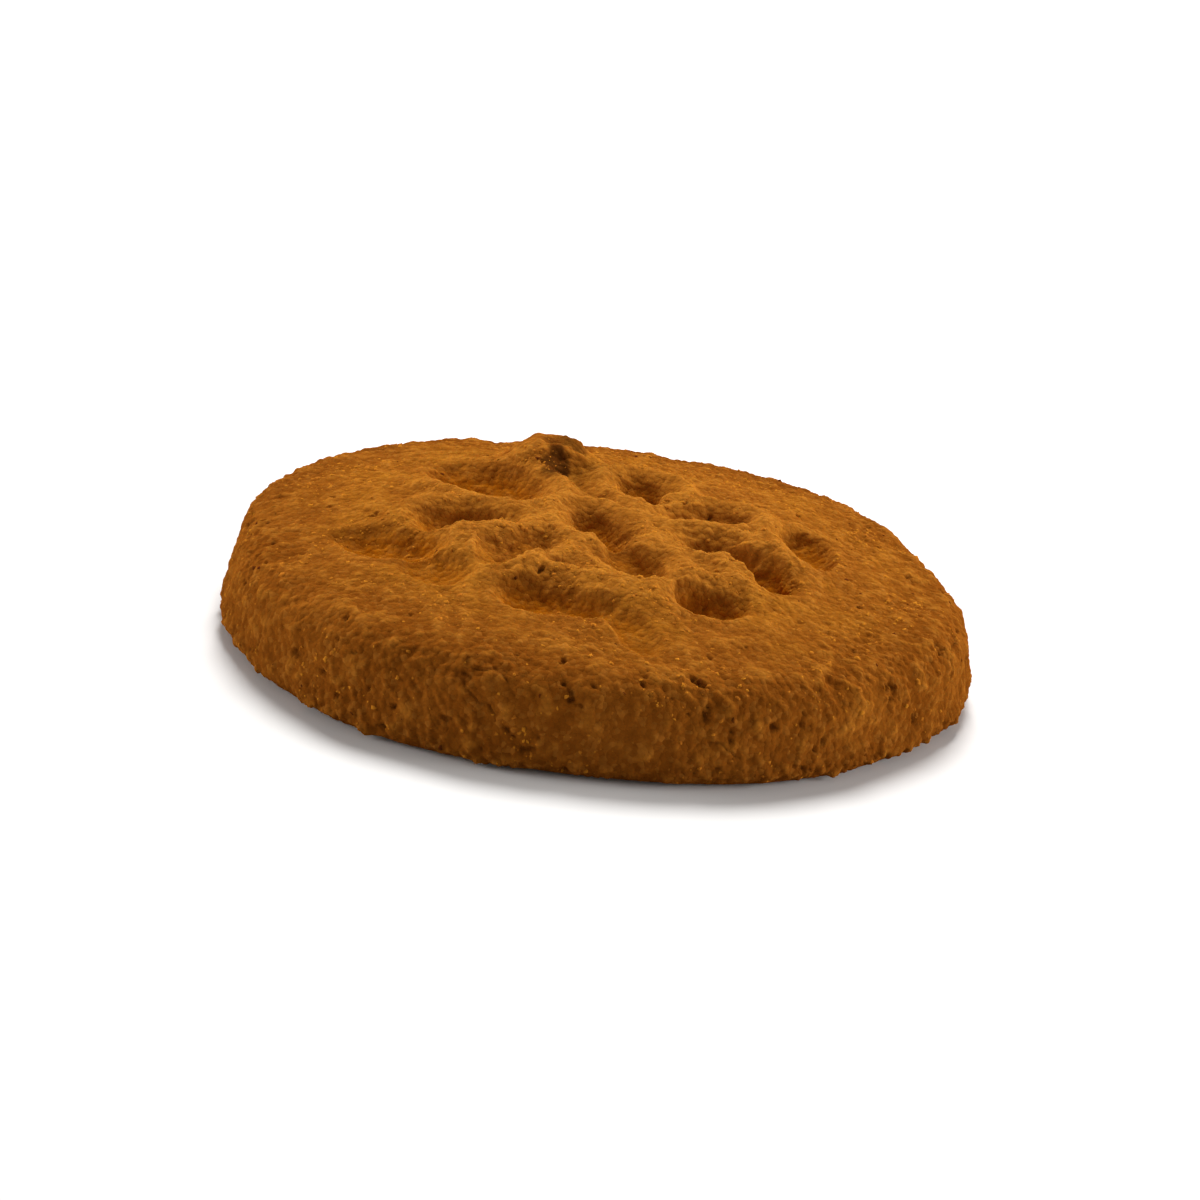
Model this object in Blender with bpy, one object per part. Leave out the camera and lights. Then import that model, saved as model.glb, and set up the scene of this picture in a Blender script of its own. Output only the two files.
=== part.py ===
"""A small round cheese biscuit, stamped with a flower and baked in one piece.

The dough is a low disc: flat underneath, with a small round at its foot, a wall that leans in a little, a
round edge and a shallow crown. The stamp has pressed a flower of hollows into the crown, four round its
middle, nine petals and three marks outside them, and the dough stands up between them in fat ridges.
Baking has drawn the flower and the outline out of true and left one burnt lump standing on the crown.
Metres, +Z up, with the origin under the middle of the flat base.
"""

import math
from collections import namedtuple

import bmesh
import bpy
import numpy as np
from mathutils import Vector, noise

MM = 0.001

# The disc
DIAMETER = 42.0 * MM
THICKNESS = 6.4 * MM  # from the base to the top of the bare crown
RADIUS = DIAMETER / 2
FOOT_ROUND = 1.2 * MM
EDGE_ROUND = 2.4 * MM
WALL_SLOPE = math.radians(11)  # how far the wall leans in from upright
EDGE_END = math.radians(82)  # where the round edge passes into the crown
EDGE_TRIES = 8
CROWN_FALL = 1.3 * MM
CROWN_FALL_START = 0.46  # shares of the radius between which the crown falls away
CROWN_FALL_END = 1.05

# Unevenness: the outline's waves as (number of bulges, share of the radius, direction of one bulge)
OUTLINE_WAVES = (
    (4, 0.025, math.radians(-37)),
    (5, 0.011, math.radians(-11)),
    (6, 0.005, math.radians(-3)),
    (7, 0.005, math.radians(-10)),
)
SWELL_HEIGHT = 0.18 * MM
SWELL_LENGTH = 7.0 * MM

# The stamped flower: hollows with fat ridges between them. Lengths are shares of the radius, turn is the
# direction of the long axis in degrees, and depth is a share of STAMP_DEPTH.
Hollow = namedtuple("Hollow", "x y half_length half_width turn depth")
HEART = (
    Hollow(-0.01, -0.05, 0.130, 0.070, -65, 0.85),
    Hollow(0.09, -0.29, 0.125, 0.075, -60, 0.60),
    Hollow(-0.19, -0.27, 0.090, 0.055, 60, 0.45),
    Hollow(-0.27, -0.35, 0.090, 0.055, 100, 0.40),
)
PETALS = (
    Hollow(0.10, 0.32, 0.120, 0.055, -75, 1.00),
    Hollow(0.26, 0.15, 0.120, 0.060, 10, 0.42),
    Hollow(0.325, -0.105, 0.115, 0.058, -30, 0.75),
    Hollow(0.435, -0.215, 0.105, 0.068, -62, 0.95),
    Hollow(0.285, -0.465, 0.098, 0.074, 0, 1.10),
    Hollow(-0.095, -0.555, 0.165, 0.078, -8, 0.90),
    Hollow(-0.41, -0.44, 0.100, 0.080, -30, 0.65),
    Hollow(-0.37, -0.12, 0.140, 0.085, 12, 0.90),
    Hollow(-0.325, 0.245, 0.190, 0.120, -45, 1.20),
)
OUTER_MARKS = (
    Hollow(0.55, 0.035, 0.115, 0.060, -75, 0.90),
    Hollow(0.10, -0.67, 0.120, 0.055, -60, 0.55),
    Hollow(-0.54, -0.28, 0.160, 0.095, -20, 0.95),
)
STAMP_DEPTH = 1.05 * MM
HOLLOW_WALL = (0.05, 1.35)  # from a hollow's floor to its lip, as squares, where 1 is its edge
RIDGE_HEIGHT = 0.80 * MM
RIDGE_PLACE = 0.055  # from a hollow's edge to the top of its ridge
RIDGE_WIDTH = 0.048
RIDGE_BLEND = 4  # the higher, the more the ridges of two hollows stay two where they meet
RIDGE_END = (0.42, 0.68)  # shares of the radius between which the ridges fade out
WEAR = 0.020  # how far the dough has drawn the flower out of place, a share of the radius
WEAR_LENGTH = 0.20
WEAR_SHIFT = 9.0  # takes the two directions of the wear from different places of the noise
RAGGED = 0.18  # how uneven the edges of the hollows are
RAGGED_LENGTH = 0.11
SMALLEST_SLOPE = 1e-6

# The burnt lump
LUMP_DIRECTION = math.radians(108)
LUMP_DISTANCE = 0.53 * RADIUS
LUMP_REACH = 3.6 * MM  # from its middle to where it meets the crown
LUMP_LEAN = 0.15  # the share of its reach by which it is steeper towards the crown's middle
LUMP_TOP = 0.25  # the share of its reach that is flat on top
LUMP_HEIGHT = 1.5 * MM

# The mesh: corners round the disc, and rings for each stretch of its profile
SEGMENTS = 120
FOOT_RINGS = 3
WALL_RINGS = 2
EDGE_RINGS = 5
CROWN_RINGS = 34


def smooth_step(low, high, value):
    """0 below low, 1 above high, with a soft S between them."""
    t = np.clip((value - low) / (high - low), 0.0, 1.0)
    return t * t * (3 - 2 * t)


def noise_at(points):
    """Soft noise between about -1 and 1, one value for each point."""
    return np.array([noise.noise(Vector(point)) for point in points])


def hollow_ratio(x, y, hollow):
    """(ratio, distance) from a hollow: 1 and 0 on its edge, less inside it, the distance a share of RADIUS."""
    turn = math.radians(hollow.turn)
    along = (x - hollow.x) * math.cos(turn) + (y - hollow.y) * math.sin(turn)
    across = (y - hollow.y) * math.cos(turn) - (x - hollow.x) * math.sin(turn)
    ratio = np.hypot(along / hollow.half_length, across / hollow.half_width)
    slope = np.hypot(along / hollow.half_length**2, across / hollow.half_width**2)
    return ratio, (ratio - 1) * ratio / np.maximum(slope, SMALLEST_SLOPE)


def flower(x, y):
    """(depth, ridge) of the stamp, each from 0 to about 1, with x and y in shares of the radius."""
    reach = np.hypot(x, y)
    places = np.column_stack((x, y, np.zeros_like(x)))
    ragged = RAGGED * noise_at(places / RAGGED_LENGTH)
    x = x + WEAR * noise_at(places / WEAR_LENGTH)
    y = y + WEAR * noise_at(places / WEAR_LENGTH + WEAR_SHIFT)
    depth = np.zeros_like(x)
    ridge = np.zeros_like(x)
    for hollow in HEART + PETALS + OUTER_MARKS:
        ratio, distance = hollow_ratio(x, y, hollow)
        depth = np.maximum(depth, hollow.depth * (1 - smooth_step(*HOLLOW_WALL, (ratio + ragged) ** 2)))
        ridge += np.exp(-RIDGE_BLEND * ((distance - RIDGE_PLACE) / RIDGE_WIDTH) ** 2)
    ridge = ridge ** (1 / RIDGE_BLEND) * (1 - smooth_step(*RIDGE_END, reach))
    return depth, ridge * (1 - np.minimum(depth, 1.0))


def lump_share(x, y):
    """1 on top of the burnt lump, 0 beyond it."""
    outward = x * math.cos(LUMP_DIRECTION) + y * math.sin(LUMP_DIRECTION) - LUMP_DISTANCE
    sideways = y * math.cos(LUMP_DIRECTION) - x * math.sin(LUMP_DIRECTION)
    distance = np.hypot(outward, sideways)
    return 1 - smooth_step(LUMP_TOP, 1.0, (distance - LUMP_LEAN * outward) / LUMP_REACH)


def arc(centre_r, centre_z, radius, start, end, steps):
    """Points of a round of the profile, its first one included."""
    angles = np.linspace(start, end, steps + 1)
    return [(centre_r + radius * math.cos(a), centre_z + radius * math.sin(a)) for a in angles]


def crown_height(r):
    """Height of the bare crown at a distance from the middle."""
    return THICKNESS - CROWN_FALL * float(smooth_step(CROWN_FALL_START, CROWN_FALL_END, r / RADIUS))


def disc_profile():
    """(distance, height) from the rim of the flat base, up the wall and over the edge to the middle."""
    foot_r = RADIUS - FOOT_ROUND
    foot = arc(foot_r, FOOT_ROUND, FOOT_ROUND, -math.pi / 2, WALL_SLOPE, FOOT_RINGS)
    # The straight wall touches both rounds, and the edge ends on the crown, which is lower further out.
    # So the place where it ends is found by trying again from each answer.
    crown_r = RADIUS - EDGE_ROUND
    for _ in range(EDGE_TRIES):
        edge_z = crown_height(crown_r) - EDGE_ROUND * math.sin(EDGE_END)
        reach = foot_r * math.cos(WALL_SLOPE) + FOOT_ROUND * math.sin(WALL_SLOPE) + FOOT_ROUND
        edge_r = (reach - EDGE_ROUND - edge_z * math.sin(WALL_SLOPE)) / math.cos(WALL_SLOPE)
        crown_r = edge_r + EDGE_ROUND * math.cos(EDGE_END)
    edge = arc(edge_r, edge_z, EDGE_ROUND, WALL_SLOPE, EDGE_END, EDGE_RINGS)
    (low_r, low_z), (high_r, high_z) = foot[-1], edge[0]
    wall = []
    for step in range(1, WALL_RINGS):
        share = step / WALL_RINGS
        wall.append((low_r + (high_r - low_r) * share, low_z + (high_z - low_z) * share))
    crown = []
    for step in range(1, CROWN_RINGS):
        r = crown_r * (1 - step / CROWN_RINGS)
        crown.append((r, crown_height(r)))
    return foot + wall + edge + crown


def surface(r, z, angle):
    """Points of the baked surface, x, y and z, from their places on the profile and round the disc."""
    waves = sum(size * np.cos(bulges * (angle - turn)) for bulges, size, turn in OUTLINE_WAVES)
    r = r * (1 + waves * (r / RADIUS) ** 2)
    x = r * np.cos(angle)
    y = r * np.sin(angle)
    swell = SWELL_HEIGHT * noise_at(np.column_stack((x, y, z)) / SWELL_LENGTH)
    above_base = smooth_step(0.0, 2 * FOOT_ROUND, z)
    depth, ridge = flower(x / RADIUS, y / RADIUS)
    relief = RIDGE_HEIGHT * ridge - STAMP_DEPTH * depth + LUMP_HEIGHT * lump_share(x, y)
    upward = swell * above_base + np.where(z > FOOT_ROUND, relief, 0.0)
    outward = swell * above_base * (r / RADIUS)
    return np.column_stack((x + outward * np.cos(angle), y + outward * np.sin(angle), z + upward))


def biscuit_mesh():
    """The closed skin: rings of the profile from the base to the crown, and a fan at each end."""
    angles = np.linspace(0.0, 2 * math.pi, SEGMENTS, endpoint=False)
    rings = [surface(np.full(SEGMENTS, r), np.full(SEGMENTS, z), angles) for r, z in disc_profile()]
    base_middle = np.zeros((1, 3))
    crown_middle = surface(np.zeros(1), np.full(1, THICKNESS), np.zeros(1))
    points = np.concatenate(rings + [base_middle, crown_middle])
    # The waves set the outline a little off the middle, so the whole is moved back over the origin.
    points[:, :2] -= (points[:, :2].min(axis=0) + points[:, :2].max(axis=0)) / 2
    skin = bmesh.new()
    verts = [skin.verts.new(point) for point in points]
    first_of_ring = range(0, len(rings) * SEGMENTS, SEGMENTS)
    for step in range(SEGMENTS):
        after = (step + 1) % SEGMENTS
        skin.faces.new((verts[-2], verts[after], verts[step]))
        skin.faces.new((verts[-1], verts[first_of_ring[-1] + step], verts[first_of_ring[-1] + after]))
        for lower, upper in zip(first_of_ring, first_of_ring[1:]):
            skin.faces.new((verts[lower + step], verts[lower + after], verts[upper + after]))
            skin.faces.new((verts[lower + step], verts[upper + after], verts[upper + step]))
    mesh = bpy.data.meshes.new("biscuit")
    skin.to_mesh(mesh)
    skin.free()
    mesh.shade_smooth()
    return mesh


def baked_dough():
    """Golden brown crust, matt."""
    material = bpy.data.materials.new("baked_dough")
    material.use_nodes = True
    shader = material.node_tree.nodes["Principled BSDF"]
    shader.inputs["Base Color"].default_value = (0.40, 0.14, 0.012, 1.0)
    shader.inputs["Roughness"].default_value = 0.75
    shader.inputs["Metallic"].default_value = 0.0
    return material


def main():
    for old in list(bpy.data.objects):
        bpy.data.objects.remove(old)
    biscuit = bpy.data.objects.new("biscuit", biscuit_mesh())
    biscuit.data.materials.append(baked_dough())
    bpy.context.collection.objects.link(biscuit)


main()
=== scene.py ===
"""Looks of the cheese biscuit: a dense crust in place of the CAD disc, crumbs, flecks, light and camera.

The crust repeats the disc's own form, from the same named sizes, and adds what is too fine for the solid:
the crumb's relief, pits and torn cracks. Its colours brown the rim and the wall, colour the hollows a
saturated orange lightened as painted bounce light, paint highlights on the ridges and the crumb's lumps,
paint shade between the grains and in the pits and cracks, and char the burnt lump.
"""

import math
from collections import namedtuple

import bmesh
import bpy
import numpy as np
from mathutils import Matrix, Quaternion, Vector, noise


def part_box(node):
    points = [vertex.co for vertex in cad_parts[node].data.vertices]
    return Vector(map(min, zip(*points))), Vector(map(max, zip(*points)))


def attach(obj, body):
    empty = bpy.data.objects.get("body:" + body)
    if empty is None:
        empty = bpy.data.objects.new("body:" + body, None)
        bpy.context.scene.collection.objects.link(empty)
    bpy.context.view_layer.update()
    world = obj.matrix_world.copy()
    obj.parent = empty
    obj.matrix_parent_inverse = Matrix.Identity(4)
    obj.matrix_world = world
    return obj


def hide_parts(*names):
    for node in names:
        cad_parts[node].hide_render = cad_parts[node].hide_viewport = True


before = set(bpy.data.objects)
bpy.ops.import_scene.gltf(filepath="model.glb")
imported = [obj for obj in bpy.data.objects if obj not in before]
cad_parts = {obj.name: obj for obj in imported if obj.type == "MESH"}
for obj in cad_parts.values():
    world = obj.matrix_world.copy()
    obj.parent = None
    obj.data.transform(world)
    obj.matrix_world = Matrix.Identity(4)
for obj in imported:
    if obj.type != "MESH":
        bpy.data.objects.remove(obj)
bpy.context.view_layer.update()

BODY = "root"

# One millimetre of the design, taken from the width of the CAD disc
DESIGN_WIDTH = 41.466
low_corner, high_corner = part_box("biscuit")
CAD_WIDTH = high_corner[0] - low_corner[0]
MM = CAD_WIDTH / DESIGN_WIDTH

# The disc, as in the solid
RADIUS = 21.0 * MM
THICKNESS = 6.4 * MM  # from the base to the top of the bare crown
FOOT_ROUND = 1.2 * MM
EDGE_ROUND = 2.4 * MM
WALL_SLOPE = math.radians(11)  # how far the wall leans in from upright
EDGE_END = math.radians(82)  # where the round edge passes into the crown
EDGE_TRIES = 8
CROWN_FALL = 1.3 * MM
CROWN_FALL_START = 0.46  # shares of the radius between which the crown falls away
CROWN_FALL_END = 1.05
OUTLINE_WAVES = (  # (bulges round the disc, size as a share of the radius, direction of the first)
    (4, 0.025, math.radians(-37)),
    (5, 0.011, math.radians(-11)),
    (6, 0.005, math.radians(-3)),
    (7, 0.005, math.radians(-10)),
)
SWELL_HEIGHT = 0.18 * MM
SWELL_LENGTH = 7.0 * MM

# The stamped flower, as in the solid: hollows with fat ridges between them. Lengths are shares of the
# radius, turn is the direction of the long axis in degrees, and depth is a share of STAMP_DEPTH.
Hollow = namedtuple("Hollow", "x y half_length half_width turn depth")
HEART = (
    Hollow(-0.01, -0.05, 0.130, 0.070, -65, 0.85),
    Hollow(0.09, -0.29, 0.125, 0.075, -60, 0.60),
    Hollow(-0.19, -0.27, 0.090, 0.055, 60, 0.45),
    Hollow(-0.27, -0.35, 0.090, 0.055, 100, 0.40),
)
PETALS = (
    Hollow(0.10, 0.32, 0.120, 0.055, -75, 1.00),
    Hollow(0.26, 0.15, 0.120, 0.060, 10, 0.42),
    Hollow(0.325, -0.105, 0.115, 0.058, -30, 0.75),
    Hollow(0.435, -0.215, 0.105, 0.068, -62, 0.95),
    Hollow(0.285, -0.465, 0.098, 0.074, 0, 1.10),
    Hollow(-0.095, -0.555, 0.165, 0.078, -8, 0.90),
    Hollow(-0.41, -0.44, 0.100, 0.080, -30, 0.65),
    Hollow(-0.37, -0.12, 0.140, 0.085, 12, 0.90),
    Hollow(-0.325, 0.245, 0.190, 0.120, -45, 1.20),
)
OUTER_MARKS = (
    Hollow(0.55, 0.035, 0.115, 0.060, -75, 0.90),
    Hollow(0.10, -0.67, 0.120, 0.055, -60, 0.55),
    Hollow(-0.54, -0.28, 0.160, 0.095, -20, 0.95),
)
STAMP_DEPTH = 1.05 * MM
HOLLOW_WALL = (0.05, 1.35)  # from a hollow's floor to its lip, as squares, where 1 is its edge
RIDGE_HEIGHT = 0.80 * MM
RIDGE_PLACE = 0.055  # from a hollow's edge to the top of its ridge
RIDGE_WIDTH = 0.048
RIDGE_BLEND = 4  # the higher, the more the ridges of two hollows stay two where they meet
RIDGE_END = (0.42, 0.68)  # shares of the radius between which the ridges fade out
WEAR = 0.020  # how far the dough has drawn the flower out of place, a share of the radius
WEAR_LENGTH = 0.20
WEAR_SHIFT = 9.0  # takes the two directions of the wear from different places of the noise
RAGGED = 0.18  # how uneven the edges of the hollows are
RAGGED_LENGTH = 0.11
SMALLEST_SLOPE = 1e-6

# The burnt lump, as in the solid
LUMP_DIRECTION = math.radians(108)
LUMP_DISTANCE = 0.53 * RADIUS
LUMP_REACH = 3.6 * MM  # from its middle to where it meets the crown
LUMP_LEAN = 0.15  # the share of its reach by which it is steeper towards the crown's middle
LUMP_TOP = 0.25  # the share of its reach that is flat on top
LUMP_HEIGHT = 1.5 * MM

# The crust's mesh: even cells of about 0.12 mm, and coarser ones underneath
Crust = namedtuple("Crust", "points normals faces marks")
RING_STEP = 8  # each ring of the crown and of the base has this many corners more than the one inside it
CROWN_RINGS = 150
SIDE_RINGS = 66
BASE_RINGS = 50
PROFILE_STEPS = 40  # corners on each round of the side's profile, along which its rings are spaced out

# The crust's zones, each from where it starts to where it is full, in shares of the radius
ROUGH_WALL = (0.84, 0.97)  # with the wall's stronger relief
BROWN_WALL = (0.71, 0.92)  # with the wall's colours
BROWN_RIM = (0.55, 0.95)
CROWN_END = 0.9  # past it there is no mark of the stamp or the lump
LOW_END = 0.55  # the share of the thickness at which the darker foot has faded out

# The crumb's relief, as (length, height) of soft lumps, of round grains and of the burnt lump's crags
LUMPS = ((2.8 * MM, 0.11 * MM), (1.2 * MM, 0.09 * MM), (0.5 * MM, 0.08 * MM))
GRAINS = (0.44 * MM, 0.11 * MM)
GRAIN_ROUND = (0.05, 0.75)  # from a grain's middle to its edge, in shares of its length
GRAINS_AT_LEAST = 0.4  # the share of their height that the grains keep where the crust isn't sandy
CRAGS = ((1.6 * MM, 0.35 * MM), (0.6 * MM, 0.16 * MM))
CRAG_START = (0.05, 0.5)  # how far up the lump they grow to their full height
SIDE_EXTRA = 0.35  # how much stronger the lumps and grains are on the wall
FOOT_EXTRA = 0.5  # and more again at its foot
FOOT_ZONE = (0.5 * FOOT_ROUND, 1.5 * FOOT_ROUND)
RELIEF_START = 0.35 * FOOT_ROUND  # the height at which the wall's relief is whole
PIT_DEPTH = 0.22 * MM
PITS_ON_CROWN = 0.75  # how much fewer they are there
PIT_CROWDING = 0.25  # how much the pits heed where they are crowded
CRACK_DEPTH = 0.14 * MM
CRACK_WIDTH = 0.075  # as a value of the noise that it follows
BASE_PIT_DEPTH = 0.15 * MM

# Soft noise, as (length, shift), where the shift takes each from a place of its own. A spread is the
# stretch of the noise's values in which what it rules goes from none to all.
SANDY = (5.5 * MM, 31.0)
SANDY_SPREAD = (-0.25, 0.30)
CROWDED = (4.0 * MM, 17.0)
CROWDED_SPREAD = (-0.2, 0.4)
PITS = (0.85 * MM, 5.0)
PIT_EDGES = (0.35 * MM, 9.0)
PIT_EDGES_SHARE = 0.4
PIT_SPREAD = (0.34, 0.62)
TORN = (3.0 * MM, 53.0)
TORN_SPREAD = (0.24, 0.42)
CRACKS = (2.4 * MM, 71.0)
CRACK_EDGES = (0.4 * MM, 73.0)
CRACK_EDGES_SHARE = 0.10
CRAG_SHIFT = 7.0
BASE_PITS = (1.1 * MM, 3.0)
BASE_PIT_SPREAD = (0.10, 0.45)
SCORCH = (0.9 * MM, 23.0)
CRUMB_GROUPS = (3.5 * MM, 31.0)
CRUMB_GROUP_SPREAD = (0.0, 0.4)

# The mark "crest_highlight_and_shade" is 0.5 where the crumb is even, more on its lumps and less between
# them.
# Its colour layers paint a highlight on the lumps' tops and shade between them
EVEN = 0.5
CREST_SHARE = 0.5  # how much of it each length of lumps gives
CREST_LOSS_ON_WALL = 0.4
CREST_LOSS_IN_HOLLOWS = 0.5
SHADE_IN_BASE_PITS = 0.3  # how far it falls there, which paints shade into the base's pits

# The burnt lump's dark patches, down its steep front, over its top and, faintly, to its right: where they
# lie from its middle and how far they reach, to the right and away from the viewer, and how dark they are
Patch = namedtuple("Patch", "right away half_right half_away strength")
SCORCHES = (
    Patch(0.2 * MM, -2.3 * MM, 0.8 * MM, 2.1 * MM, 1.0),
    Patch(0.8 * MM, 0.3 * MM, 1.4 * MM, 0.9 * MM, 0.7),
    Patch(2.4 * MM, -2.2 * MM, 1.6 * MM, 2.0 * MM, 0.25),
)
SCORCH_EDGE = (0.65, 1.20)  # where 1 is a patch's edge
SCORCH_UNEVEN = 0.4

# Loose crumbs and flecks, each a small many-sided lump sunk into the crust
SEED = 11
CRUMBS = 4200
CRUMB_REACH = (0.07 * MM, 0.24 * MM)
CRUMBS_BETWEEN_GROUPS = 0.15  # how likely they are there, to which a group adds 1
CRUMBS_ANYWHERE = 0.25
CRUMBS_ON_RIDGES = 0.6
CRUMBS_ON_SHOULDER = 0.8
FLECKS = 120
FLECK_REACH = (0.09 * MM, 0.22 * MM)
LOOSE_FROM = 0.3 * MM  # the height above which crumbs and flecks lie
CORNER_REACH = (0.65, 1.25)  # how unevenly a crumb's corners stand out
SQUASH = (0.6, 1.1)  # its three half widths, in shares of its reach
SUNK = 0.55  # of its reach
CLEARANCE = 1.2  # its middle's least height over the floor, in shares of its reach

# Colours
GOLDEN = (0.305, 0.096, 0.0095, 1)
YELLOW = (0.385, 0.138, 0.0115, 1)
# A pale tan: partly the ridges' own paler tone, partly a painted highlight on the ridges and the crumb's
# lumps
RIDGE_TAN_AND_HIGHLIGHT = (0.460, 0.172, 0.0190, 1)
BROWN = (0.200, 0.056, 0.0050, 1)
# The hollows' own less browned orange, made more saturated and lighter to stand in for light bounced inside
# them: painted bounce light
STAMPED_ORANGE_AND_BOUNCE_LIGHT = (0.360, 0.096, 0.0008, 1)
DEEP_BROWN = (0.085, 0.022, 0.0030, 1)
CHARRED = (0.060, 0.018, 0.003, 1)
PALE_GRAIN = (0.47, 0.185, 0.028, 1)
RED_FLECK = (0.085, 0.018, 0.004, 1)
FLOOR_WHITE = (0.62, 0.61, 0.60, 1)
STUDIO_WHITE = (1.0, 0.98, 0.95, 1)

# The crust's colours are laid in layers, each over those before it. A layer covers its share of them in
# full where its field has gone from start to end, or, without a start and an end, in proportion to its
# field. The fields are the crust's marks, soft blotches, and the shader's own fine grains.
Layer = namedtuple("Layer", "field start end share colour")
MARKS = ("wall", "low", "outer", "stamped", "raised", "burnt", "pit", "grain", "crest_highlight_and_shade")
BLOTCHES = {
    "crown_blotches": 5.0 * MM,
    "wall_blotches": 3.2 * MM,
    "small_blotches": 1.4 * MM,
    "scorch_blotches": 0.8 * MM,
}
BLOTCH_DETAIL = 3.0
FINE_GRAINS = (0.27 * MM, 0.6)  # their length, and how unevenly they lie
CROWN_LAYERS = (  # over GOLDEN
    Layer("crown_blotches", 0.35, 0.68, 1.0, YELLOW),
    Layer("outer", None, None, 0.50, BROWN),
    # the ridges lighter: partly their own tone, partly a painted highlight
    Layer("raised", None, None, 0.75, RIDGE_TAN_AND_HIGHLIGHT),
    # painted bounce light: the hollows' floors lifted to a lighter, saturated orange
    Layer("stamped", 0.0, 0.9, 0.8, STAMPED_ORANGE_AND_BOUNCE_LIGHT),
)
WALL_LAYERS = (Layer("wall_blotches", 0.40, 0.78, 1.0, GOLDEN),)  # over BROWN
CRUST_LAYERS = (  # over both
    Layer("low", None, None, 0.45, DEEP_BROWN),
    Layer("small_blotches", 0.62, 0.38, 0.30, BROWN),
    # painted highlight on the crumb's lumps, then painted shade between them
    Layer("crest_highlight_and_shade", 0.50, 0.85, 0.45, RIDGE_TAN_AND_HIGHLIGHT),
    Layer("crest_highlight_and_shade", 0.50, 0.15, 0.40, BROWN),
    # painted shade at the edges of the shader's fine grains, between them
    Layer("fine_grain_distance", 0.40, 0.75, 0.22, BROWN),
    Layer("fine_grain_number", 0.60, 0.85, 0.22, PALE_GRAIN),
    Layer("fine_grain_number", 0.36, 0.20, 0.16, DEEP_BROWN),
    # painted shade between the mesh's grains
    Layer("grain", 0.45, 0.0, 0.25, BROWN),
    # painted shade: pits and cracks darkened
    Layer("pit", None, None, 0.45, DEEP_BROWN),
)
SCORCH_LAYERS = (Layer("scorch_blotches", 0.40, 0.62, 1.0, DEEP_BROWN),)  # over CHARRED
SCORCH_SHARE = 0.92

# The dough's surface, matt and a little translucent
ROUGHNESS = (0.55, 0.85)
ROUGHNESS_SPREAD = (0.3, 0.7)
ROUGHNESS_LENGTH = 0.5 * MM
DOUGH_SHADER = {
    "Specular IOR Level": 0.0,
    "Diffuse Roughness": 0.6,
    "Subsurface Weight": 0.05,
    "Subsurface Radius": (1.0, 0.35, 0.1),
    "Subsurface Scale": 1.2 * MM,
}
GRAIN_BUMP = (0.09 * MM, 0.8)  # height and strength
DUST_BUMP = (0.03 * MM, 0.6)
DUST_LENGTH = 0.12 * MM
CRUMB_SHADER = {"Roughness": 0.8, "Specular IOR Level": 0.0}
CRUMB_TINTS = (0.5 * MM, 0.40, 0.60)  # their length, and the spread of the noise

# Floor, light and camera, in metres and watts
FLOOR_REACH = 3
FLOOR_DROP = 0.02 * MM  # keeps the floor's face off the base's
FLOOR_ROUGHNESS = 0.9
STUDIO_STRENGTH = 0.30
Light = namedtuple("Light", "name place size power")
LIGHTS = (
    Light("overhead", (0.0, 0.235, 0.35), 0.20, 2.90),
    Light("right_fill", (0.36, 0.0, 0.07), 0.20, 1.62),
    Light("left_fill", (-0.36, -0.02, 0.07), 0.20, 1.15),
)
VIEW_ELEVATION = math.radians(20)
VIEW_DISTANCE = 8 * RADIUS  # four widths
VIEW_ROLL = math.radians(7.2)
VIEW_HEIGHT = 0.35 * THICKNESS  # of the point on the biscuit's axis that the camera looks at
FRAME_SHARE = 0.62  # of the frame's width that the biscuit fills
SENSOR_WIDTH = 36  # in the camera's own millimetres, as the lens is
CLIP_START = 0.001
CLIP_END = 20


def smooth_step(low, high, value):
    """0 below low, 1 above high, with a soft S between them."""
    t = np.clip((value - low) / (high - low), 0.0, 1.0)
    return t * t * (3 - 2 * t)


def noise_at(points):
    """Soft noise between about -1 and 1, one value for each point."""
    return np.array([noise.noise(Vector(point)) for point in points])


def soft_noise(points, length, shift=0.0):
    """Soft noise of a length, taken from its own place of the noise."""
    return noise_at(points / length + shift)


def hollow_ratio(x, y, hollow):
    """(ratio, distance) from a hollow: 1 and 0 on its edge, less inside it. Lengths are shares of RADIUS."""
    turn = math.radians(hollow.turn)
    along = (x - hollow.x) * math.cos(turn) + (y - hollow.y) * math.sin(turn)
    across = (y - hollow.y) * math.cos(turn) - (x - hollow.x) * math.sin(turn)
    ratio = np.hypot(along / hollow.half_length, across / hollow.half_width)
    slope = np.hypot(along / hollow.half_length**2, across / hollow.half_width**2)
    return ratio, (ratio - 1) * ratio / np.maximum(slope, SMALLEST_SLOPE)


def flower(x, y):
    """(depth, ridge) of the stamp, each from 0 to about 1, with x and y in shares of the radius."""
    reach = np.hypot(x, y)
    places = np.column_stack((x, y, np.zeros_like(x)))
    ragged = RAGGED * noise_at(places / RAGGED_LENGTH)
    x = x + WEAR * noise_at(places / WEAR_LENGTH)
    y = y + WEAR * noise_at(places / WEAR_LENGTH + WEAR_SHIFT)
    depth = np.zeros_like(x)
    ridge = np.zeros_like(x)
    for hollow in HEART + PETALS + OUTER_MARKS:
        ratio, distance = hollow_ratio(x, y, hollow)
        depth = np.maximum(depth, hollow.depth * (1 - smooth_step(*HOLLOW_WALL, (ratio + ragged) ** 2)))
        ridge += np.exp(-RIDGE_BLEND * ((distance - RIDGE_PLACE) / RIDGE_WIDTH) ** 2)
    ridge = ridge ** (1 / RIDGE_BLEND) * (1 - smooth_step(*RIDGE_END, reach))
    return depth, ridge * (1 - np.minimum(depth, 1.0))


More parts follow.
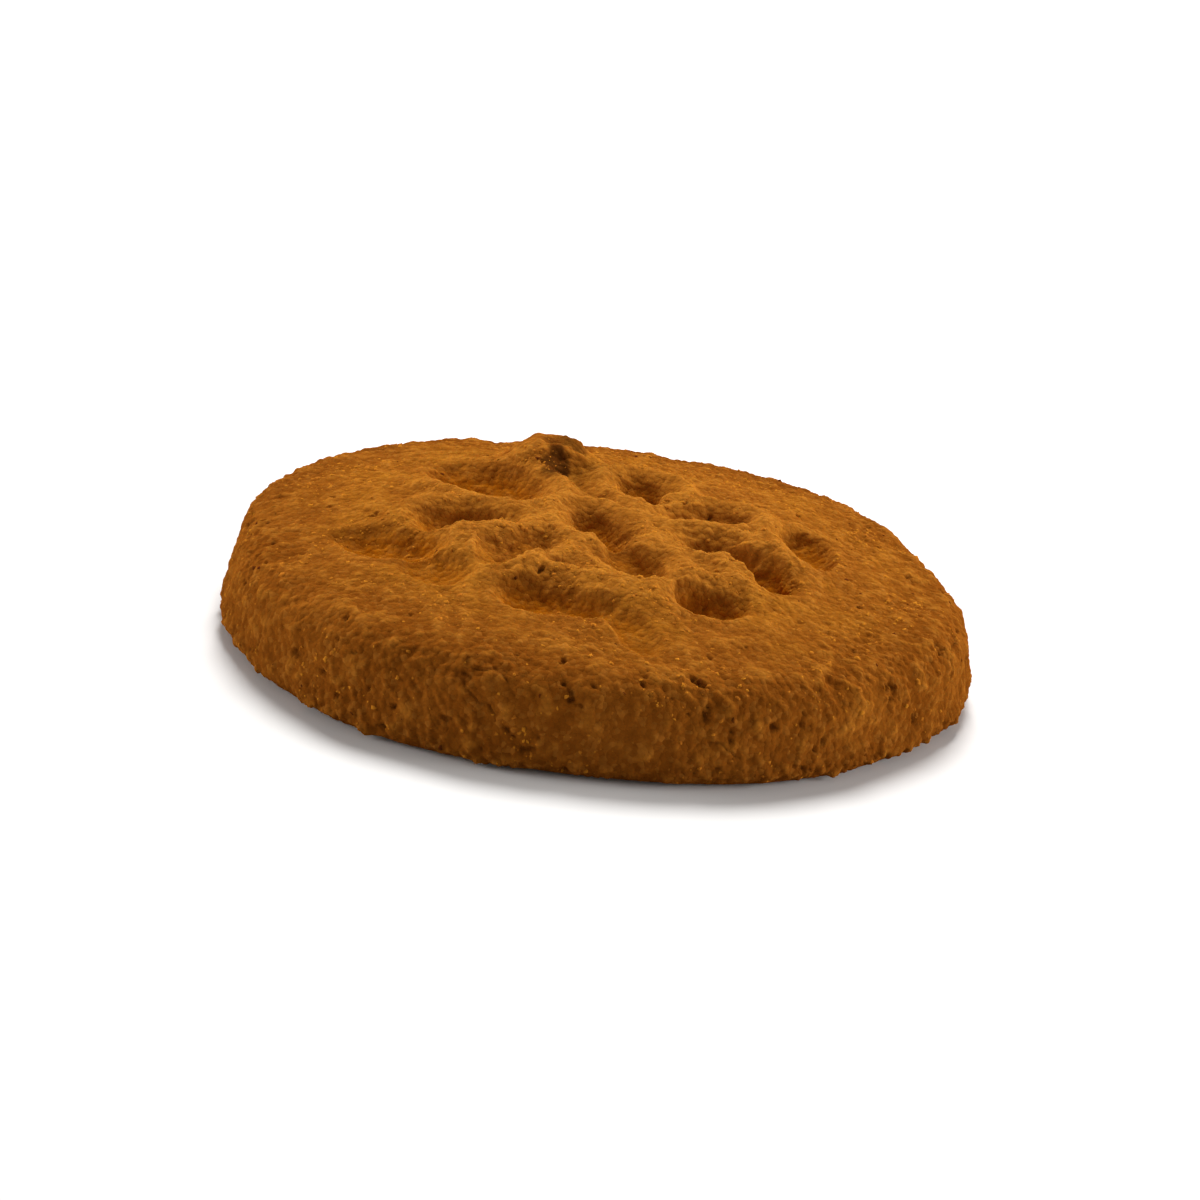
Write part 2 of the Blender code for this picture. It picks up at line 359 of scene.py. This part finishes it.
def lump_share(x, y):
    """1 on top of the burnt lump, 0 beyond it."""
    outward = x * math.cos(LUMP_DIRECTION) + y * math.sin(LUMP_DIRECTION) - LUMP_DISTANCE
    sideways = y * math.cos(LUMP_DIRECTION) - x * math.sin(LUMP_DIRECTION)
    distance = np.hypot(outward, sideways)
    return 1 - smooth_step(LUMP_TOP, 1.0, (distance - LUMP_LEAN * outward) / LUMP_REACH)


def arc(centre_r, centre_z, radius, start, end):
    """Points of a round of the profile."""
    angles = np.linspace(start, end, PROFILE_STEPS + 1)
    return np.column_stack((centre_r + radius * np.cos(angles), centre_z + radius * np.sin(angles)))


def crown_height(r):
    """Height of the bare crown at a distance from the middle."""
    return THICKNESS - CROWN_FALL * smooth_step(CROWN_FALL_START, CROWN_FALL_END, r / RADIUS)


def side_profile(rings):
    """(distance, height) at even steps from the crown's rim, over the edge and down the wall."""
    foot_r = RADIUS - FOOT_ROUND
    foot = arc(foot_r, FOOT_ROUND, FOOT_ROUND, WALL_SLOPE, -math.pi / 2)
    # The straight wall touches both rounds, and the edge ends on the crown, which is lower further out.
    # So the place where it ends is found by trying again from each answer.
    crown_r = RADIUS - EDGE_ROUND
    for _ in range(EDGE_TRIES):
        edge_z = crown_height(crown_r) - EDGE_ROUND * math.sin(EDGE_END)
        reach = foot_r * math.cos(WALL_SLOPE) + FOOT_ROUND * math.sin(WALL_SLOPE) + FOOT_ROUND
        edge_r = (reach - EDGE_ROUND - edge_z * math.sin(WALL_SLOPE)) / math.cos(WALL_SLOPE)
        crown_r = edge_r + EDGE_ROUND * math.cos(EDGE_END)
    line = np.concatenate((arc(edge_r, edge_z, EDGE_ROUND, EDGE_END, WALL_SLOPE), foot))
    travelled = np.concatenate(([0.0], np.cumsum(np.hypot(*np.diff(line, axis=0).T))))
    stops = np.linspace(0.0, travelled[-1], rings + 1)
    return np.interp(stops, travelled, line[:, 0]), np.interp(stops, travelled, line[:, 1])


def surface(r, z, angle):
    """Points of the solid's surface, from their places on the profile and round the disc."""
    waves = sum(size * np.cos(bulges * (angle - turn)) for bulges, size, turn in OUTLINE_WAVES)
    r = r * (1 + waves * (r / RADIUS) ** 2)
    x = r * np.cos(angle)
    y = r * np.sin(angle)
    swell = SWELL_HEIGHT * noise_at(np.column_stack((x, y, z)) / SWELL_LENGTH)
    above_base = smooth_step(0.0, 2 * FOOT_ROUND, z)
    depth, ridge = flower(x / RADIUS, y / RADIUS)
    relief = RIDGE_HEIGHT * ridge - STAMP_DEPTH * depth + LUMP_HEIGHT * lump_share(x, y)
    upward = swell * above_base + np.where(z > FOOT_ROUND, relief, 0.0)
    outward = swell * above_base * (r / RADIUS)
    return np.column_stack((x + outward * np.cos(angle), y + outward * np.sin(angle), z + upward))


def zip_rings(upper_start, upper_count, lower_start, lower_count):
    """Triangles between two even rings about one axis that may differ in their number of corners."""
    faces = []
    upper = 0
    lower = 0
    while upper < upper_count or lower < lower_count:
        here = upper_start + upper % upper_count
        below = lower_start + lower % lower_count
        lower_is_next = (lower + 1) * upper_count <= (upper + 1) * lower_count
        if lower < lower_count and (upper == upper_count or lower_is_next):
            lower += 1
            faces.append((here, below, lower_start + lower % lower_count))
        else:
            upper += 1
            faces.append((here, below, upper_start + upper % upper_count))
    # A ring of one corner has no side of its own, and the triangle on it would be a mere line.
    return [face for face in faces if len(set(face)) == 3]


def crust_rings():
    """(distance, height, corners) of each ring: out over the crown, down the wall and in under the base."""
    side_r, side_z = side_profile(SIDE_RINGS)
    rings = [(0.0, THICKNESS, 1)]
    for step in range(1, CROWN_RINGS + 1):
        r = side_r[0] * step / CROWN_RINGS
        rings.append((r, float(crown_height(r)), RING_STEP * step))
    rings += [(r, z, RING_STEP * CROWN_RINGS) for r, z in zip(side_r[1:], side_z[1:])]
    for step in range(BASE_RINGS, 0, -1):
        rings.append((side_r[-1] * step / (BASE_RINGS + 1), 0.0, RING_STEP * step))
    rings.append((0.0, 0.0, 1))
    return rings


def crumb_relief(points, z, wall, lump):
    """(height, grain, pit, crest_highlight_and_shade): what the crumb adds to the smooth form, and marks for
    its colours, the last of which paints highlight on the lumps and shade between them and in the base's
    pits.
    """
    relief = sum(height * soft_noise(points, length) for length, height in LUMPS)
    crest_highlight_and_shade = EVEN + sum(CREST_SHARE * soft_noise(points, length) for length, _ in LUMPS[1:])
    length, height = GRAINS
    nearest = np.array([noise.voronoi(Vector(point))[0][0] for point in points / length])
    grain = 1 - smooth_step(*GRAIN_ROUND, nearest)
    sandy = smooth_step(*SANDY_SPREAD, soft_noise(points, *SANDY))
    relief += height * (grain - 0.5) * (GRAINS_AT_LEAST + (1 - GRAINS_AT_LEAST) * sandy)
    relief *= 1 + SIDE_EXTRA * wall + FOOT_EXTRA * wall * (1 - smooth_step(*FOOT_ZONE, z))
    crowded = smooth_step(*CROWDED_SPREAD, soft_noise(points, *CROWDED)) - (1 - wall) * PITS_ON_CROWN
    pit = soft_noise(points, *PITS) + PIT_EDGES_SHARE * soft_noise(points, *PIT_EDGES)
    pit = smooth_step(*PIT_SPREAD, pit + PIT_CROWDING * (crowded - 1))
    relief -= PIT_DEPTH * pit
    torn = smooth_step(*TORN_SPREAD, soft_noise(points, *TORN)) * wall
    course = soft_noise(points, *CRACKS) + CRACK_EDGES_SHARE * soft_noise(points, *CRACK_EDGES)
    crack = torn * (1 - smooth_step(0.0, CRACK_WIDTH, np.abs(course)))
    relief -= CRACK_DEPTH * crack
    for length, height in CRAGS:
        relief += height * smooth_step(*CRAG_START, lump) * soft_noise(points, length, CRAG_SHIFT)
    relief *= smooth_step(0.0, RELIEF_START, z)
    base_pit = smooth_step(*BASE_PIT_SPREAD, soft_noise(points, *BASE_PITS))
    on_base = z <= 0
    relief = np.where(on_base, -BASE_PIT_DEPTH * base_pit, relief)
    crest_highlight_and_shade = EVEN + (crest_highlight_and_shade - EVEN) * (1 - CREST_LOSS_ON_WALL * wall)
    # painted shade in the base's pits
    crest_highlight_and_shade = np.where(on_base, EVEN - SHADE_IN_BASE_PITS * base_pit, crest_highlight_and_shade)
    return relief, grain, np.maximum(pit, crack), crest_highlight_and_shade


def burnt_share(points):
    """1 where the burnt lump is darkest, 0 beyond its patches."""
    right = points[:, 0] - LUMP_DISTANCE * math.cos(LUMP_DIRECTION)
    away = points[:, 1] - LUMP_DISTANCE * math.sin(LUMP_DIRECTION)
    uneven = SCORCH_UNEVEN * soft_noise(points, *SCORCH)
    burnt = np.zeros(len(points))
    for patch in SCORCHES:
        across = (right - patch.right) / patch.half_right
        along = (away - patch.away) / patch.half_away
        share = 1 - smooth_step(*SCORCH_EDGE, np.hypot(across, along) + uneven)
        burnt = np.maximum(burnt, patch.strength * share)
    return burnt


def vertex_normals(points, faces):
    """One normal for each point, from all the triangles round it."""
    corners = points[np.asarray(faces)]
    face_normals = np.cross(corners[:, 1] - corners[:, 0], corners[:, 2] - corners[:, 0])
    normals = np.zeros_like(points)
    for corner in np.asarray(faces).T:
        np.add.at(normals, corner, face_normals)
    return normals / np.linalg.norm(normals, axis=1)[:, None]


def whole_crust():
    """The biscuit's surface, its triangles in order down the rings, with marks for its colours."""
    rings = crust_rings()
    r = np.concatenate([np.full(count, ring_r) for ring_r, _, count in rings])
    z = np.concatenate([np.full(count, ring_z) for _, ring_z, count in rings])
    angle = np.concatenate([np.arange(count) * 2 * math.pi / count for _, _, count in rings])
    points = surface(r, z, angle)
    # The solid was moved back over the origin by its own box's middle, so this is too.
    middle = np.append((points[:, :2].min(axis=0) + points[:, :2].max(axis=0)) / 2, 0.0)
    faces = []
    start = 0
    for (_, _, count), (_, _, next_count) in zip(rings, rings[1:]):
        faces += zip_rings(start, count, start + count, next_count)
        start += count
    on_base = z <= 0
    crown = (z > FOOT_ROUND) & (r < CROWN_END * RADIUS)
    wall = smooth_step(*ROUGH_WALL, r / RADIUS) * ~on_base
    depth, ridge = flower(points[:, 0] / RADIUS, points[:, 1] / RADIUS)
    stamped = np.minimum(depth, 1.0) * crown
    lump = lump_share(points[:, 0], points[:, 1])
    height, grain, pit, crest_highlight_and_shade = crumb_relief(points, z, wall, lump * crown)
    points = points + vertex_normals(points, faces) * height[:, None]
    points[:, 2] = np.maximum(points[:, 2], 0.0)
    marks = {
        "wall": np.where(on_base, 1.0, smooth_step(*BROWN_WALL, r / RADIUS)),
        "low": np.where(on_base, 1.0, 1 - smooth_step(0.0, LOW_END, z / THICKNESS)),
        "outer": smooth_step(*BROWN_RIM, r / RADIUS),
        "stamped": stamped,
        "raised": ridge * crown,
        "burnt": burnt_share(points) * crown,
        "pit": pit,
        "grain": grain,
        # painted highlight and shade of the crumb, weaker in the hollows
        "crest_highlight_and_shade": EVEN + (crest_highlight_and_shade - EVEN) * (1 - CREST_LOSS_IN_HOLLOWS * stamped),
    }
    return Crust(points - middle, vertex_normals(points, faces), faces, marks)


def new_piece(name, points, faces):
    """A smooth mesh object in the scene."""
    mesh = bpy.data.meshes.new(name)
    mesh.from_pydata(np.asarray(points).tolist(), [], np.asarray(faces).tolist())
    mesh.shade_smooth()
    piece = bpy.data.objects.new(name, mesh)
    bpy.context.collection.objects.link(piece)
    return piece


def crust_piece(name, faces, crust):
    """A stretch of the crust's rings, with the whole crust's normals so that no seam shows."""
    used, faces = np.unique(faces, return_inverse=True)
    piece = new_piece(name, crust.points[used], faces.reshape(-1, 3))
    # Blender takes a mesh's own normals from an attribute of this name.
    attribute = piece.data.attributes.new("custom_normal", "FLOAT_VECTOR", "POINT")
    attribute.data.foreach_set("vector", crust.normals[used].astype(np.float32).ravel())
    for mark in MARKS:
        attribute = piece.data.attributes.new(mark, "FLOAT", "POINT")
        attribute.data.foreach_set("value", crust.marks[mark][used].astype(np.float32))
    return piece


def lumps_on(name, crust, places, reaches, draw):
    """Small twenty-sided lumps, each squashed and turned its own way, sunk into the crust at its places."""
    ball = bmesh.new()
    bmesh.ops.create_icosphere(ball, subdivisions=1, radius=1.0)
    corners = np.array([vertex.co[:] for vertex in ball.verts])
    sides = np.array([[vertex.index for vertex in face.verts] for face in ball.faces])
    ball.free()
    count = len(places)
    uneven = corners[None] * draw.uniform(*CORNER_REACH, (count, len(corners), 1))
    uneven = uneven * draw.uniform(*SQUASH, (count, 1, 3))
    turns = np.array([Quaternion(turn).normalized().to_matrix() for turn in draw.normal(size=(count, 4))])
    turned = np.einsum("nij,nkj->nki", turns, uneven) * reaches[:, None, None]
    centres = crust.points[places] - crust.normals[places] * (SUNK * reaches[:, None])
    centres[:, 2] = np.maximum(centres[:, 2], CLEARANCE * reaches)
    faces = sides[None] + len(corners) * np.arange(count)[:, None, None]
    return new_piece(name, (turned + centres[:, None]).reshape(-1, 3), faces.reshape(-1, 3))


def crumb_piece(crust, draw):
    """Loose crumbs in groups, the most on the ridges and the shoulder, and few of them large."""
    marks = crust.marks
    grouped = smooth_step(*CRUMB_GROUP_SPREAD, soft_noise(crust.points, *CRUMB_GROUPS))
    groups = CRUMBS_BETWEEN_GROUPS + grouped
    shoulder = marks["outer"] * (1 - marks["low"]) ** 2 * (1 - marks["wall"])
    likely = groups * (CRUMBS_ANYWHERE + CRUMBS_ON_RIDGES * marks["raised"] + CRUMBS_ON_SHOULDER * shoulder)
    likely *= crust.points[:, 2] > LOOSE_FROM
    places = draw.choice(len(likely), CRUMBS, replace=False, p=likely / likely.sum())
    small, large = CRUMB_REACH
    return lumps_on("crumbs", crust, places, small + (large - small) * draw.random(CRUMBS) ** 2, draw)


def fleck_piece(crust, draw):
    """Dark flecks anywhere above the foot, but for the burnt patches."""
    likely = (crust.points[:, 2] > LOOSE_FROM) * (1 - crust.marks["burnt"])
    places = draw.choice(len(likely), FLECKS, replace=False, p=likely / likely.sum())
    return lumps_on("flecks", crust, places, draw.uniform(*FLECK_REACH, FLECKS), draw)


class Graph:
    """A short way to write a material's nodes."""

    def __init__(self, name):
        self.material = bpy.data.materials.new(name)
        self.material.use_nodes = True
        self.tree = self.material.node_tree
        self.shader = self.tree.nodes["Principled BSDF"]

    def node(self, kind, settings=(), **inputs):
        """A new node. Each input is a number, a colour or another node's output."""
        node = self.tree.nodes.new(kind)
        for key, value in dict(settings).items():
            setattr(node, key, value)
        for key, value in inputs.items():
            self.set(node.inputs[key.replace("_", " ")], value)
        return node

    def set(self, socket, value):
        if isinstance(value, bpy.types.NodeSocket):
            self.tree.links.new(value, socket)
        else:
            socket.default_value = value

    def set_shader(self, **inputs):
        for key, value in inputs.items():
            self.set(self.shader.inputs[key.replace("_", " ")], value)

    def place(self):
        """Where a point lies on the piece, in its own metres."""
        return self.node("ShaderNodeTexCoord").outputs["Object"]

    def attribute(self, name):
        """A mark of the mesh."""
        return self.node("ShaderNodeAttribute", {"attribute_name": name}).outputs["Fac"]

    def noise(self, length, detail=2.0):
        """Soft noise of a length, mostly between 0.3 and 0.7."""
        texture = self.node("ShaderNodeTexNoise", Vector=self.place(), Scale=1 / length, Detail=detail)
        return texture.outputs["Fac"]

    def grains(self, length, uneven):
        """(distance from a grain's middle, a number of its own) for grains of about one length."""
        wander = self.node("ShaderNodeTexNoise", Vector=self.place(), Scale=1 / (2 * length), Detail=1.0)
        shift = self.node("ShaderNodeVectorMath", {"operation": "SCALE"}, Scale=uneven * length)
        self.set(shift.inputs[0], wander.outputs["Color"])
        place = self.node("ShaderNodeVectorMath", {"operation": "ADD"})
        self.set(place.inputs[0], self.place())
        self.set(place.inputs[1], shift.outputs["Vector"])
        texture = self.node("ShaderNodeTexVoronoi", Vector=place.outputs["Vector"], Scale=1 / length)
        return texture.outputs["Distance"], texture.outputs["Color"]

    def ramp(self, value, low, high, to_low=0.0, to_high=1.0):
        """to_low at low and to_high at high, with a soft S between. Low may be the higher of the two."""
        node = self.node("ShaderNodeMapRange", {"interpolation_type": "SMOOTHSTEP"}, Value=value)
        self.set(node.inputs["From Min"], low)
        self.set(node.inputs["From Max"], high)
        self.set(node.inputs["To Min"], to_low)
        self.set(node.inputs["To Max"], to_high)
        return node.outputs["Result"]

    def maths(self, operation, a, b):
        node = self.node("ShaderNodeMath", {"operation": operation})
        self.set(node.inputs[0], a)
        self.set(node.inputs[1], b)
        return node.outputs[0]

    def blend(self, share, a, b):
        """a where the share is 0, b where it is 1."""
        node = self.node("ShaderNodeMix", {"data_type": "RGBA"})
        self.set(node.inputs[0], share)
        self.set(node.inputs[6], a)
        self.set(node.inputs[7], b)
        return node.outputs[2]

    def paint(self, colour, fields, layers):
        """The colour with every layer laid over it in turn."""
        for layer in layers:
            field = fields[layer.field]
            if layer.start is None:
                share = self.maths("MULTIPLY", field, layer.share)
            else:
                share = self.ramp(field, layer.start, layer.end, 0.0, layer.share)
            colour = self.blend(share, colour, layer.colour)
        return colour

    def bump(self, field, height, strength):
        """A bump node, so that another may be laid under it."""
        return self.node("ShaderNodeBump", Height=field, Distance=height, Strength=strength)


def dough_material():
    """The crust: coloured layer on layer, painted highlight, bounce light and shade among them, with fine
    grains and dust too small for the mesh.
    """
    g = Graph("baked_dough")
    fields = {mark: g.attribute(mark) for mark in MARKS}
    fields |= {name: g.noise(length, BLOTCH_DETAIL) for name, length in BLOTCHES.items()}
    distance, number = g.grains(*FINE_GRAINS)
    fields |= {"fine_grain_distance": distance, "fine_grain_number": number}
    crown = g.paint(GOLDEN, fields, CROWN_LAYERS)
    wall = g.paint(BROWN, fields, WALL_LAYERS)
    crust = g.paint(g.blend(fields["wall"], crown, wall), fields, CRUST_LAYERS)
    scorched = g.paint(CHARRED, fields, SCORCH_LAYERS)
    coarse = g.bump(g.maths("SUBTRACT", 1.0, g.maths("MULTIPLY", distance, distance)), *GRAIN_BUMP)
    fine = g.bump(g.noise(DUST_LENGTH), *DUST_BUMP)
    g.set(fine.inputs["Normal"], coarse.outputs["Normal"])
    g.set_shader(
        Base_Color=g.blend(g.maths("MULTIPLY", fields["burnt"], SCORCH_SHARE), crust, scorched),
        Roughness=g.ramp(g.noise(ROUGHNESS_LENGTH), *ROUGHNESS_SPREAD, *ROUGHNESS),
        Normal=fine.outputs["Normal"],
        **DOUGH_SHADER,
    )
    return g.material


def crumb_material(name, colours):
    """Small lumps of one kind, each a little different in colour."""
    g = Graph(name)
    length, low, high = CRUMB_TINTS
    g.set_shader(Base_Color=g.blend(g.ramp(g.noise(length), low, high), *colours), **CRUMB_SHADER)
    return g.material


def add_floor_and_light():
    """A plain pale floor, an even sky and three soft lights, each turned to the biscuit."""
    corners = [(FLOOR_REACH * x, FLOOR_REACH * y, 0) for x, y in ((-1, -1), (1, -1), (1, 1), (-1, 1))]
    floor = new_piece("floor", corners, [(0, 1, 2, 3)])
    floor.location.z = -FLOOR_DROP
    paper = Graph("floor_paper")
    paper.set_shader(Base_Color=FLOOR_WHITE, Roughness=FLOOR_ROUGHNESS)
    floor.data.materials.append(paper.material)
    world = bpy.data.worlds.new("studio")
    bpy.context.scene.world = world
    world.use_nodes = True
    background = world.node_tree.nodes["Background"]
    background.inputs["Color"].default_value = STUDIO_WHITE
    background.inputs["Strength"].default_value = STUDIO_STRENGTH
    for kind in LIGHTS:
        data = bpy.data.lights.new(kind.name, "AREA")
        data.shape = "DISK"
        data.size = kind.size
        data.energy = kind.power
        light = bpy.data.objects.new(kind.name, data)
        light.location = kind.place
        light.rotation_euler = Vector(kind.place).to_track_quat("Z", "Y").to_euler()
        bpy.context.collection.objects.link(light)


def add_camera():
    """The photo's view of the biscuit."""
    direction = Vector((0, -math.cos(VIEW_ELEVATION), math.sin(VIEW_ELEVATION)))
    place = Matrix.Translation(Vector((0, 0, VIEW_HEIGHT)) + direction * VIEW_DISTANCE)
    level = direction.to_track_quat("Z", "Y").to_matrix().to_4x4()
    data = bpy.data.cameras.new("camera")
    data.sensor_width = SENSOR_WIDTH
    data.lens = SENSOR_WIDTH * FRAME_SHARE * VIEW_DISTANCE / CAD_WIDTH
    data.clip_start = CLIP_START
    data.clip_end = CLIP_END
    view = bpy.data.objects.new("camera", data)
    view.matrix_world = place @ level @ Matrix.Rotation(VIEW_ROLL, 4, "Z")
    bpy.context.collection.objects.link(view)
    bpy.context.scene.camera = view


def main():
    bpy.context.scene.view_settings.view_transform = "Standard"
    add_camera()
    add_floor_and_light()
    draw = np.random.default_rng(SEED)
    crust = whole_crust()
    crown_faces = RING_STEP * CROWN_RINGS**2
    dough = dough_material()
    crown = crust_piece("crown", crust.faces[:crown_faces], crust)
    side = crust_piece("side_and_base", crust.faces[crown_faces:], crust)
    for piece, material in (
        (crown, dough),
        (side, dough),
        (crumb_piece(crust, draw), crumb_material("crumbs", (GOLDEN, YELLOW))),
        (fleck_piece(crust, draw), crumb_material("flecks", (RED_FLECK, DEEP_BROWN))),
    ):
        piece.data.materials.append(material)
        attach(piece, BODY)
    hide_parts("biscuit")
    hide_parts("biscuit")


main()
